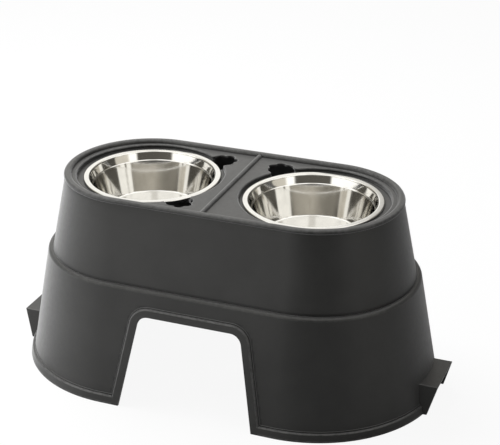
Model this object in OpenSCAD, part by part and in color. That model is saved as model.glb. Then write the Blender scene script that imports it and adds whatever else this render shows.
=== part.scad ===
// Elevated pet feeder: a moulded stand in two shells, with two lift-out steel bowls.
// Every outline of the stand is a stadium about the same two end centres, so a wall is
// written once as a half depth and a height. The origin is on the floor, under the middle.
// X runs along the stand, Y to the back, Z up.

/* [Bowls] */
// Radius of a bowl over its rolled rim
bowl_rim_r = 105; // [90:0.5:115]
// Width of the flat flange round the bowl's mouth
flange_w = 10; // [7:0.5:14]
// Height of the rolled edge
roll_h = 3; // [2.5:0.25:5]
// Thickness of the steel
bowl_t = 1; // [0.6:0.1:1.6]
// Depth from the rim to the floor of the bowl
bowl_depth = 62; // [45:1:80]
// Drop of the steep band below the mouth
band_drop = 14; // [8:1:18]
// How much narrower the bowl is at the foot of the steep band
band_in = 4.5; // [2:0.5:8]
// Width of the slanted step at the foot of the band, a part of that narrowing
band_step = 1.2; // [0.6:0.2:1.8]
// How much narrower the bowl is at its floor than under the band
taper_in = 12; // [5:0.5:24]
// Radius of the bend between flange and mouth
mouth_round = 2.5; // [1.75:0.25:4]
// Radius of the bend between wall and floor
floor_bend = 3; // [2:0.5:12]
// Rise of the middle of the bowl's floor
floor_rise = 2; // [0.5:0.5:4]

/* [Bowl seats] */
// Mean space round a bowl's rim inside its recess
seat_space = 7.5; // [5:0.5:12]
// How far the middle of a recess lies outside the middle of its bowl
recess_shift = 2.5; // [0:0.5:4]
// How far the bowl's rim lies below the deck
rim_sink = 3.6; // [2:0.2:9]
// Gap between the rolled edge and its seat
seat_gap = 0.3; // [0.2:0.05:0.6]
// Space between the bowl's body and the hole in the seat
hole_space = 1.5; // [1:0.25:3]
// Radius of the rounded edge of the recess
recess_edge = 2.5; // [1:0.25:2.75]

/* [Deck] */
// Width of the deck between the two recesses
bridge_w = 40; // [34:1:60]
// How far each bowl's centre lies inside the centre of the round end
bowl_inset = 7; // [0:0.5:14]
// Narrowest strip of deck between a recess and the rim
deck_margin = 4; // [3:0.5:12]
// Thickness of the deck, the recess wall and the seat
deck_t = 3.5; // [2.5:0.25:5]
// Drop from the crest of the rim to the deck
deck_drop = 5.5; // [5:0.25:8]
// Width of the rib between the two bowls
rib_w = 7.5; // [5:0.5:10]
// Height of the rib above the deck
rib_h = 4; // [3:0.25:5]

/* [Rim and upper wall] */
// Height of the stand
stand_h = 304.8; // [280:1:340]
// Width of the raised rim
rim_w = 11.5; // [9.5:0.5:14]
// Height of the rim's outer face
rim_h = 6.5; // [6:0.25:9]
// How far the rim stands out past the wall
rim_lip = 1.5; // [0.5:0.25:2]
// Radius of the rim's outer edge
rim_round_out = 4.2; // [2:0.2:4.4]
// Radius of the rim's inner edge
rim_round_in = 4.5; // [1.5:0.25:4.75]
// How far the upper wall flares out from the rim to the belt
tray_flare = 23; // [15:1:32]
// Thickness of the moulded walls
wall_t = 3.5; // [2.5:0.25:5]

/* [Finger holes] */
// How far the middle of a finger hole lies outside the edge of its recess
finger_out = 10; // [6:0.5:12]
// Radius of the hole's round middle
pad_r = 13.5; // [11:0.5:15]
// Width of the notch that lets fingers under the bowl's rim
notch_w = 40; // [26:0.5:40]
// How far the notch reaches in under the bowl's rolled edge
notch_under = 2.5; // [1:0.5:3.5]
// Radius of the four toes of the paw
toe_r = 7.5; // [5:0.25:8]
// Distance of the toes from the middle
toe_out = 12.5; // [9:0.25:13.5]
// Angle between neighbouring toes
toe_angle = 58; // [50:1:62]

/* [Belt] */
// Height of the belt, where the lower shell's collar ends
belt_h = 182; // [165:1:200]
// How far the lower wall stands out past the upper wall
collar_step = 8.5; // [7.5:0.25:12]
// Radius of the collar's rounded shoulder
shoulder_r = 6; // [3:0.25:6.75]
// Depth to which the upper shell sits in the collar
collar_lap = 8; // [6:0.5:12]
// Running gap between the upper shell and the collar
fit_gap = 0.3; // [0.2:0.05:0.5]
// Height of the snap bead on the upper shell's foot
snap_h = 0.8; // [0.4:0.1:1.2]
// Length of the snap bead along the wall
snap_l = 3; // [2:0.25:4]
// Thickness of the shelf that carries the upper shell
shelf_t = 3.5; // [2.5:0.25:6]
// How far the shelf reaches in past the upper shell's foot
shelf_lip = 1; // [0.5:0.25:3]

/* [Lower wall and edge band] */
// How far the lower wall flares out from the belt to the floor
skirt_flare = 31.6; // [22:0.2:42]
// Width of the shallow outer step of the band, along the hem and round the arches
band_w1 = 15.2; // [14:0.2:18]
// Height of the outer step
band_t1 = 1; // [0.6:0.1:1.2]
// Radius of the outer step's edge
band_round1 = 0.6; // [0.2:0.1:0.6]
// Width of the raised band
band_w2 = 13; // [8:0.2:13.2]
// Height of the raised band
band_t2 = 4; // [4:0.25:6]
// Radius of the raised band's edge
band_round2 = 2.75; // [1:0.25:2.75]

/* [Arches] */
// Height of wall left between an arch and the belt
lintel_h = 39; // [34:1:60]
// Flat wall between an arch's foot and the round end
leg_w = 30.5; // [25:0.5:50]
// How much narrower an arch is on each side at its top than at the floor
arch_lean = 26.6; // [10:0.2:40]
// Radius of the arch's top corners
arch_round = 18; // [8:1:30]

/* [End grips] */
// Height of the ledge
grip_h = 45; // [36:1:60]
// Width of the ledge along the end
grip_w = 84; // [60:1:110]
// How much farther out each cheek stands at the floor than at the ledge
grip_splay = 8; // [0:0.5:14]
// How far the ledge stands out past the hem
grip_reach = 12.2; // [8:0.2:25]
// How far the cheeks' feet lie inside the hem's end
grip_foot_in = 1.2; // [0.4:0.2:2]
// Thickness of the ledge and its cheeks
grip_t = 4; // [3:0.25:6]

/* [Hidden] */
$fn = 96;
// Small overlap that makes cuts clean and joins sure
cut = 1;
// How far the lower shell's shapes run below the floor before they are trimmed flat
below = 6;
// How far the straight runs of an arch's band stand proud of its corners, which end inside them
proud = 0.05;
// Straight pieces in a quarter turn of a rounded edge
arc_n = 6;

// Plan sizes, from the bowls outwards
recess_r = bowl_rim_r + seat_space;
recess_x = recess_r + bridge_w / 2;
bowl_x = recess_x - recess_shift;
end_x = bowl_x + bowl_inset;
rim_out = recess_r + deck_margin + rim_w;
rim_in = rim_out - rim_w;
wall_top_out = rim_out - rim_lip;
collar_out = wall_top_out + tray_flare + collar_step;

// Heights, from the top down
deck_z = stand_h - deck_drop;
deck_under = deck_z - deck_t;
wall_top_z = stand_h - rim_h;
rim_z = deck_z - rim_sink;
seat_z = rim_z - roll_h - seat_gap;
foot_z = belt_h - collar_lap;
collar_z = belt_h - shoulder_r;

// Lower wall: how far it leans, and where its foot and the grips end
wall_angle = atan(skirt_flare / collar_z);
hem_out = collar_out + skirt_flare + band_t2 / cos(wall_angle);
grip_x = end_x + hem_out + grip_reach;
inner_band_w = band_w2 - wall_t;
inner_band_t = band_t2 - wall_t;

// Bowl section
mouth_r = bowl_rim_r - flange_w;
band_r = mouth_r - band_in;
floor_r = band_r - taper_in;
seat_hole_r = mouth_r + bowl_t + hole_space;

// Arch outline, measured along the leaning wall
arch_foot = end_x - leg_w;
arch_h = (belt_h - lintel_h) / cos(wall_angle);
arch_angle = atan(arch_lean / arch_h);
corner_up = arch_h - arch_round;
corner_x = arch_foot - corner_up * tan(arch_angle) - arch_round / cos(arch_angle);

// Half depth of the outside of the upper wall at a height
function tray_out(z) = wall_top_out + tray_flare * (wall_top_z - z) / (wall_top_z - belt_h);

// Half depth of the outside of the lower wall at a height
function skirt_out(z) = collar_out + skirt_flare * (collar_z - z) / collar_z;

// Half depth and height of a point that lies up along the lower wall and out from its outside
function wall_point(up, out) = [
    skirt_out(0) - up * sin(wall_angle) + out * cos(wall_angle),
    up * cos(wall_angle) + out * sin(wall_angle)
];

// Points of an arc about c from angle a0 to a1
function arc(c, r, a0, a1) =
    [for (i = [0:arc_n]) let (a = a0 + (a1 - a0) * i / arc_n) c + r * [cos(a), sin(a)]];

// A list of points in the other order
function reversed(points) = [for (i = [len(points) - 1:-1:0]) points[i]];

// The joint between the shells: the upper wall's outside, moved out by a gap, from its foot up
function snap_line(gap) =
    let (mid = (foot_z + belt_h) / 2, low = mid - snap_l / 2, high = mid + snap_l / 2)
    [
        [tray_out(foot_z) + gap, foot_z],
        [tray_out(low) + gap, low],
        [tray_out(mid) + gap + snap_h, mid],
        [tray_out(high) + gap, high],
        [tray_out(belt_h) + gap, belt_h]
    ];

// Outside of the edge band as distance from its edge and height, from the wall to the edge,
// moved out by a margin
function band_line(out) = concat(
    [[band_w1 + out, 0]],
    arc([band_w1 - band_round1 + out, band_t1 - band_round1 + out], band_round1, 0, 90),
    [[band_w2 + out, band_t1 + out]],
    arc([band_w2 - band_round2 + out, band_t2 - band_round2 + out], band_round2, 0, 90),
    [[-below, band_t2 + out]]
);

// Carries a section, half depth across and height up, round the whole stand
module round_the_stand() {
    for (side = [-1, 1]) {
        translate([side * end_x, 0, 0])
            rotate([0, 0, -90 * side])
                rotate_extrude(angle = 180)
                    children();
    }
    for (back = [0, 1]) {
        mirror([0, back, 0])
            translate([-end_x, 0, 0])
                rotate([90, 0, 90])
                    linear_extrude(2 * end_x)
                        children();
    }
}

// Deck, rim and upper wall in one section
module tray_section() {
    polygon(concat(
        [[0, deck_under], [0, deck_z], [rim_in, deck_z]],
        arc([rim_in + rim_round_in, stand_h - rim_round_in], rim_round_in, 180, 90),
        arc([rim_out - rim_round_out, stand_h - rim_round_out], rim_round_out, 90, 0),
        arc([rim_out - rim_lip, wall_top_z + rim_lip], rim_lip, 0, -90),
        reversed(snap_line(0)),
        [
            [tray_out(foot_z) - wall_t, foot_z],
            [tray_out(deck_under) - wall_t, deck_under]
        ]
    ));
}

// Collar, shelf, lower wall and hem in one section
module skirt_section() {
    shelf_under = foot_z - shelf_t;
    shelf_in = tray_out(foot_z) - wall_t - shelf_lip;
    polygon(concat(
        arc([collar_out - shoulder_r, collar_z], shoulder_r, 90, 0),
        [for (p = band_line(0)) wall_point(p[0], p[1])],
        [
            wall_point(-below, inner_band_t),
            wall_point(inner_band_w, inner_band_t),
            wall_point(inner_band_w, -wall_t),
            [skirt_out(shelf_under) - wall_t / cos(wall_angle), shelf_under],
            [shelf_in, shelf_under],
            [shelf_in, foot_z]
        ],
        snap_line(fit_gap)
    ));
}

// A paw print for fingers, with its toes away from the bowl and a notch towards it
module paw_shape() {
    circle(pad_r);
    for (toe = [-1.5:1.5])
        rotate(toe * toe_angle)
            translate([toe_out, 0])
                circle(toe_r);
    notch_l = finger_out + seat_space + notch_under;
    translate([-notch_l, -notch_w / 2])
        square([notch_l, notch_w]);
}

// A finger hole beside a bowl, towards the middle of the stand and the front or back
module finger_hole(bowl_side, depth_side) {
    translate([bowl_side * recess_x, 0, seat_z - deck_t - cut])
        rotate([0, 0, depth_side * (90 + 45 * bowl_side)])
            translate([recess_r + finger_out, 0, 0])
                linear_extrude(deck_z - seat_z + deck_t + 2 * cut)
                    paw_shape();
}

// Wall and seat of one recess, below the deck
module recess_cup() {
    translate([0, 0, seat_z - deck_t])
        cylinder(h = deck_under - seat_z + deck_t + cut, r = recess_r + deck_t);
}

// Hole for a bowl's body in its seat
module seat_hole() {
    translate([0, 0, seat_z - deck_t - cut])
        cylinder(h = deck_t + 2 * cut, r = seat_hole_r);
}

// Space of one recess
module recess_space() {
    translate([0, 0, seat_z])
        cylinder(h = stand_h - seat_z, r = recess_r);
    rotate_extrude()
        polygon(concat(
            [[recess_r - cut, deck_z - recess_edge], [recess_r - cut, deck_z + cut]],
            [[recess_r + recess_edge, deck_z + cut]],
            arc([recess_r + recess_edge, deck_z - recess_edge], recess_edge, 90, 180)
        ));
}

// Rib across the deck between the bowls
module divider_rib() {
    half_l = rim_in + rim_round_in;
    translate([0, half_l, deck_z])
        rotate([90, 0, 0])
            linear_extrude(2 * half_l)
                intersection() {
                    translate([0, rib_h - rib_w / 2]) circle(rib_w / 2);
                    translate([-rib_w, -cut]) square([2 * rib_w, rib_h + 2 * cut]);
                }
}

module top_tray() {
    color("#4a4a49")
        difference() {
            union() {
                round_the_stand() tray_section();
                for (side = [-1, 1])
                    translate([side * recess_x, 0, 0]) recess_cup();
                divider_rib();
            }
            for (side = [-1, 1]) {
                translate([side * recess_x, 0, 0]) recess_space();
                translate([side * bowl_x, 0, 0]) seat_hole();
            }
            finger_hole(-1, -1);
            finger_hole(-1, 1);
            finger_hole(1, 1);
        }
}

// Lays children on the outside of the front wall: X along it, Y up along it, Z out from it
module on_front() {
    translate([0, -skirt_out(0), 0])
        rotate([90 - wall_angle, 0, 0])
            children();
}

// Arch outline on the wall, grown outwards by a margin
module arch_shape(grow) {
    foot = arch_foot + grow / cos(arch_angle) + below * tan(arch_angle);
    r = arch_round + grow;
    polygon(concat(
        [[foot, -below]],
        arc([corner_x, corner_up], r, arch_angle, 90),
        arc([-corner_x, corner_up], r, 90, 180 - arch_angle),
        [[-foot, -below]]
    ));
}

// The edge band's section beside an arch, sunk a little into the wall
module band_section(out) {
    translate([arch_round, 0])
        polygon(concat(band_line(out), [[-below, -cut], [band_w1 + out, -cut]]));
}

// The band round one arch, in two halves of a leg, a corner and half the top
module arch_band() {
    leg_l = corner_up / cos(arch_angle) + (arch_round + band_w1) * tan(arch_angle) + 3 * cut;
    for (side = [0, 1])
        mirror([side, 0, 0]) {
            translate([corner_x, corner_up, 0])
                rotate([0, 0, arch_angle]) {
                    rotate_extrude(angle = 90 - arch_angle)
                        band_section(0);
                    translate([0, cut, 0])
                        rotate([90, 0, 0])
                            linear_extrude(leg_l)
                                band_section(proud);
                }
            translate([0, corner_up, 0])
                rotate([90, 0, 90])
                    linear_extrude(corner_x + cut)
                        band_section(proud);
        }
}

// The opening of one arch and the hollow behind its band
module arch_cut() {
    translate([0, 0, -wall_t - cut])
        linear_extrude(wall_t + band_t2 + 2 * cut)
            arch_shape(0);
    translate([0, 0, -wall_t - cut])
        linear_extrude(cut + band_t2)
            arch_shape(inner_band_w);
}

// End outline of a grip, with its cheeks and ledge moved in by a margin
module grip_outline(inset) {
    top = grip_h - inset;
    half_low = grip_w / 2 + grip_splay * (grip_h + cut) / grip_h - inset;
    half_top = grip_w / 2 + grip_splay * inset / grip_h - inset;
    polygon([[-half_low, -cut], [half_low, -cut], [half_top, top], [-half_top, top]]);
}

// The outside of a grip at the right end, let into the end wall
module grip_block() {
    inside = end_x + skirt_out(grip_h) - grip_w / 2;
    depth = grip_w + 2 * grip_splay + 4 * cut;
    difference() {
        intersection() {
            rotate([90, 0, 90])
                linear_extrude(grip_x) grip_outline(0);
            translate([0, depth / 2, 0])
                rotate([90, 0, 0])
                    linear_extrude(depth)
                        polygon([
                            [inside, -cut],
                            [end_x + hem_out - grip_foot_in, -cut],
                            [end_x + hem_out - grip_foot_in, 0],
                            [grip_x, grip_h],
                            [inside, grip_h]
                        ]);
        }
        translate([end_x, 0, 0])
            rotate_extrude()
                polygon([
                    [0, -below],
                    wall_point(-below, band_t2 - wall_t / 2),
                    wall_point(band_w2 - wall_t / 2, band_t2 - wall_t / 2),
                    wall_point(band_w2 - wall_t / 2, -wall_t / 2),
                    wall_point(grip_h + 4 * cut, -wall_t / 2),
                    [0, grip_h + 4 * cut]
                ]);
    }
}

// The hand space of a grip, which opens the end wall under the ledge
module grip_space() {
    translate([end_x, 0, 0])
        rotate([90, 0, 90])
            linear_extrude(grip_x - end_x + cut)
                grip_outline(grip_t);
}

module base_skirt() {
    color("#3c3c3b")
        difference() {
            union() {
                round_the_stand() skirt_section();
                for (back = [0, 1])
                    mirror([0, back, 0]) on_front() arch_band();
                for (side = [0, 1])
                    mirror([side, 0, 0]) grip_block();
            }
            for (back = [0, 1])
                mirror([0, back, 0]) on_front() arch_cut();
            for (side = [0, 1])
                mirror([side, 0, 0]) grip_space();
            translate([-grip_x, -hem_out - below, -2 * below])
                cube([2 * grip_x, 2 * (hem_out + below), 2 * below]);
        }
}

// Section of the bowl's inside, moved out by the steel's thickness for its outside,
// from the middle of the floor to the flange
function bowl_line(out) =
    let (
        lean = atan(taper_in / (bowl_depth - band_drop)),
        bend_x = floor_r + floor_bend * (tan(lean) - 1 / cos(lean)),
        dome_r = (bend_x * bend_x + floor_rise * floor_rise) / (2 * floor_rise),
        dome_z = floor_rise - bowl_depth - dome_r
    )
    concat(
        arc([0, dome_z], dome_r - out, 90, 90 - asin(bend_x / dome_r)),
        arc([bend_x, floor_bend - bowl_depth], floor_bend + out, -90, -lean),
        [[band_r + out, -band_drop], [band_r + band_step + out, band_step - band_drop]],
        arc([mouth_r + mouth_round, -mouth_round], mouth_round - out, 180, 90)
    );

// One spun bowl, with its mouth at the origin
module bowl() {
    roll_x = bowl_rim_r - roll_h / 2;
    rotate_extrude() {
        polygon(concat(
            bowl_line(bowl_t),
            [[roll_x, -bowl_t], [roll_x, 0]],
            reversed(bowl_line(0))
        ));
        translate([roll_x, -roll_h / 2])
            circle(roll_h / 2);
    }
}

module left_bowl() {
    color("#c9c9c6")
        translate([-bowl_x, 0, rim_z])
            bowl();
}

module right_bowl() {
    color("#c9c9c6")
        translate([bowl_x, 0, rim_z])
            bowl();
}

top_tray();
base_skirt();
left_bowl();
right_bowl();
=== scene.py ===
"""Looks of a raised pet feeder: a moulded stand in two shells, and two lift-out steel bowls.

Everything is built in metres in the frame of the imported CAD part, which is loaded first.
The shells and the bowls are made again here as fine, smooth meshes from the same sizes,
and stand for their CAD nodes. X runs along the stand, Y to the back, Z up.
"""

from __future__ import annotations

import logging
from abc import ABC, abstractmethod
from collections.abc import Iterable, Sequence
from dataclasses import dataclass
from enum import Enum
from math import asin, atan, cos, degrees, hypot, inf, pi, radians, sin, sqrt, tan

import bmesh
import bpy
from mathutils import Matrix, Vector


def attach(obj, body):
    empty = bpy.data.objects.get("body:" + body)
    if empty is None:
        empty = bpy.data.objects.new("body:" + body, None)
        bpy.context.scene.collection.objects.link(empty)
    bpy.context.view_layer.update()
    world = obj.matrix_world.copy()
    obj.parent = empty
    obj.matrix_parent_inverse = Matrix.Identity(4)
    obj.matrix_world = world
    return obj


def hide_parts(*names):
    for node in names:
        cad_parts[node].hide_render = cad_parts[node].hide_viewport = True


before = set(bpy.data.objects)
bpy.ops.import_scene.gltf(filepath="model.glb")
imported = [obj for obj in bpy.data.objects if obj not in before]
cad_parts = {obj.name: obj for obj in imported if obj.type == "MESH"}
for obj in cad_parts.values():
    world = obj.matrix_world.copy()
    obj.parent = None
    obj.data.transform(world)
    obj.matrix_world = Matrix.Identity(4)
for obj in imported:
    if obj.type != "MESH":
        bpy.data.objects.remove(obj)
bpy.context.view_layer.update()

LOG = logging.getLogger("feeder")
MM = 0.001
Point = tuple[float, float]
Place = tuple[float, float, float]
Colour = tuple[float, float, float]
Piece = bpy.types.Object
Material = bpy.types.Material
Socket = bpy.types.NodeSocket

WHITE = (1.0, 1.0, 1.0)
ROUND_STEPS = 240


class Join(Enum):
    """How one solid is worked into another."""

    CUT = "DIFFERENCE"
    FUSE = "UNION"


def arc(centre: Point, radius: float, start: float, end: float, steps: int = 8) -> list[Point]:
    """Points along an arc.

    Args:
        centre: Middle of the arc.
        radius: Its radius.
        start: First angle, in degrees.
        end: Last angle, in degrees.
        steps: Straight pieces that the arc is drawn with.

    Returns:
        The points from the start angle to the end angle.
    """
    angles = [radians(start + (end - start) * i / steps) for i in range(steps + 1)]
    return [(centre[0] + radius * cos(a), centre[1] + radius * sin(a)) for a in angles]


def circle(centre: Point, radius: float, steps: int = ROUND_STEPS) -> list[Point]:
    """Points round a circle, each of them once."""
    return arc(centre, radius, 0, 360, steps)[:-1]


def box(left: float, right: float, low: float, high: float) -> list[Point]:
    """Corners of a rectangle, counter-clockwise."""
    return [(left, low), (right, low), (right, high), (left, high)]


def linked(name: str, data: bpy.types.ID) -> Piece:
    """Makes an object with its data and puts it in the scene."""
    obj = bpy.data.objects.new(name, data)
    bpy.context.scene.collection.objects.link(obj)
    return obj


@dataclass(frozen=True)
class StandSizes:
    """Sizes of the stand and its bowls in metres, with what follows from them."""

    bowl_rim_r: float = 105.0 * MM
    flange_w: float = 10.0 * MM
    roll_h: float = 3.0 * MM
    steel_t: float = 1.0 * MM
    bowl_depth: float = 62.0 * MM
    band_drop: float = 14.0 * MM
    band_in: float = 4.5 * MM
    band_step: float = 1.2 * MM
    taper_in: float = 12.0 * MM
    mouth_round: float = 2.5 * MM
    floor_bend: float = 3.0 * MM
    floor_rise: float = 2.0 * MM
    seat_space: float = 7.5 * MM
    recess_shift: float = 2.5 * MM
    rim_sink: float = 3.6 * MM
    seat_gap: float = 0.3 * MM
    hole_space: float = 1.5 * MM
    recess_edge: float = 2.5 * MM
    bridge_w: float = 40.0 * MM
    bowl_inset: float = 7.0 * MM
    deck_margin: float = 4.0 * MM
    deck_t: float = 3.5 * MM
    deck_drop: float = 5.5 * MM
    rib_w: float = 7.5 * MM
    rib_h: float = 4.0 * MM
    stand_h: float = 304.8 * MM
    rim_w: float = 11.5 * MM
    rim_h: float = 6.5 * MM
    rim_lip: float = 1.5 * MM
    rim_round_out: float = 4.2 * MM
    rim_round_in: float = 4.5 * MM
    tray_flare: float = 23.0 * MM
    wall_t: float = 3.5 * MM
    finger_out: float = 10.0 * MM
    pad_r: float = 13.5 * MM
    notch_w: float = 40.0 * MM
    notch_under: float = 2.5 * MM
    toe_r: float = 7.5 * MM
    toe_out: float = 12.5 * MM
    toe_angle: float = 58.0
    belt_h: float = 182.0 * MM
    collar_step: float = 8.5 * MM
    shoulder_r: float = 6.0 * MM
    collar_lap: float = 8.0 * MM
    fit_gap: float = 0.3 * MM
    shelf_t: float = 3.5 * MM
    shelf_lip: float = 1.0 * MM
    skirt_flare: float = 31.6 * MM
    band_w1: float = 15.2 * MM
    band_t1: float = 1.0 * MM
    band_round1: float = 0.6 * MM
    band_w2: float = 13.0 * MM
    band_t2: float = 4.0 * MM
    band_round2: float = 2.75 * MM
    lintel_h: float = 39.0 * MM
    leg_w: float = 30.5 * MM
    arch_lean: float = 26.6 * MM
    arch_round: float = 18.0 * MM
    grip_h: float = 45.0 * MM
    grip_w: float = 84.0 * MM
    grip_splay: float = 8.0 * MM
    grip_reach: float = 12.2 * MM
    grip_foot_in: float = 1.2 * MM
    grip_t: float = 4.0 * MM
    below: float = 6.0 * MM

    @property
    def recess_r(self) -> float:
        """Radius of the recess round a bowl."""
        return self.bowl_rim_r + self.seat_space

    @property
    def recess_x(self) -> float:
        """Middle of a recess, from the middle of the stand."""
        return self.recess_r + self.bridge_w / 2

    @property
    def bowl_x(self) -> float:
        """Middle of a bowl, from the middle of the stand."""
        return self.recess_x - self.recess_shift

    @property
    def end_x(self) -> float:
        """Middle of a round end, from the middle of the stand."""
        return self.bowl_x + self.bowl_inset

    @property
    def rim_out(self) -> float:
        """Half depth over the raised rim."""
        return self.recess_r + self.deck_margin + self.rim_w

    @property
    def wall_top_out(self) -> float:
        """Half depth of the upper wall just under the rim."""
        return self.rim_out - self.rim_lip

    @property
    def collar_out(self) -> float:
        """Half depth of the lower shell at its collar."""
        return self.wall_top_out + self.tray_flare + self.collar_step

    @property
    def deck_z(self) -> float:
        """Height of the deck."""
        return self.stand_h - self.deck_drop

    @property
    def wall_top_z(self) -> float:
        """Height at which the upper wall meets the rim."""
        return self.stand_h - self.rim_h

    @property
    def rim_z(self) -> float:
        """Height of a bowl's flange."""
        return self.deck_z - self.rim_sink

    @property
    def seat_z(self) -> float:
        """Height of a bowl's seat."""
        return self.rim_z - self.roll_h - self.seat_gap

    @property
    def foot_z(self) -> float:
        """Height of the upper shell's foot."""
        return self.belt_h - self.collar_lap

    @property
    def collar_z(self) -> float:
        """Height at which the collar's shoulder begins."""
        return self.belt_h - self.shoulder_r

    @property
    def wall_angle(self) -> float:
        """Lean of the lower wall, in radians."""
        return atan(self.skirt_flare / self.collar_z)

    @property
    def hem_out(self) -> float:
        """Half depth over the hem at the floor."""
        return self.collar_out + self.skirt_flare + self.band_t2 / cos(self.wall_angle)

    @property
    def grip_x(self) -> float:
        """Outer edge of a grip, from the middle of the stand."""
        return self.end_x + self.hem_out + self.grip_reach

    @property
    def mouth_r(self) -> float:
        """Inner radius of a bowl's flange."""
        return self.bowl_rim_r - self.flange_w

    @property
    def seat_hole_r(self) -> float:
        """Radius of the hole in a seat that a bowl's body hangs through."""
        return self.mouth_r + self.steel_t + self.hole_space

    @property
    def arch_top(self) -> float:
        """Height of an arch, measured along the leaning wall."""
        return (self.belt_h - self.lintel_h) / cos(self.wall_angle)

    @property
    def arch_angle(self) -> float:
        """Lean of an arch's sides, in radians."""
        return atan(self.arch_lean / self.arch_top)

    def tray_out(self, z: float) -> float:
        """Half depth of the outside of the upper wall at a height."""
        drop = (self.wall_top_z - z) / (self.wall_top_z - self.belt_h)
        return self.wall_top_out + self.tray_flare * drop

    def skirt_out(self, z: float) -> float:
        """Half depth of the outside of the lower wall at a height."""
        return self.collar_out + self.skirt_flare * (self.collar_z - z) / self.collar_z

    def grip_half(self, z: float) -> float:
        """Half width of a grip at a height."""
        return self.grip_w / 2 + self.grip_splay * (self.grip_h - z) / self.grip_h

    def wall_point(self, up: float, out: float) -> Point:
        """A point that lies up along the lower wall and out from its outside.

        Args:
            up: Distance up along the wall from the floor.
            out: Distance out from the wall's outside.

        Returns:
            Its half depth and height.
        """
        n, c = sin(self.wall_angle), cos(self.wall_angle)
        return (self.skirt_out(0) - up * n + out * c, up * c + out * n)

    def band_line(self) -> list[Point]:
        """Outside of the edge band, as distance from its edge and height."""
        outer = (self.band_w1 - self.band_round1, self.band_t1 - self.band_round1)
        raised = (self.band_w2 - self.band_round2, self.band_t2 - self.band_round2)
        return [
            (self.band_w1, 0.0),
            *arc(outer, self.band_round1, 0, 90, 6),
            (self.band_w2, self.band_t1),
            *arc(raised, self.band_round2, 0, 90, 12),
            (-self.below, self.band_t2),
        ]


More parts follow.
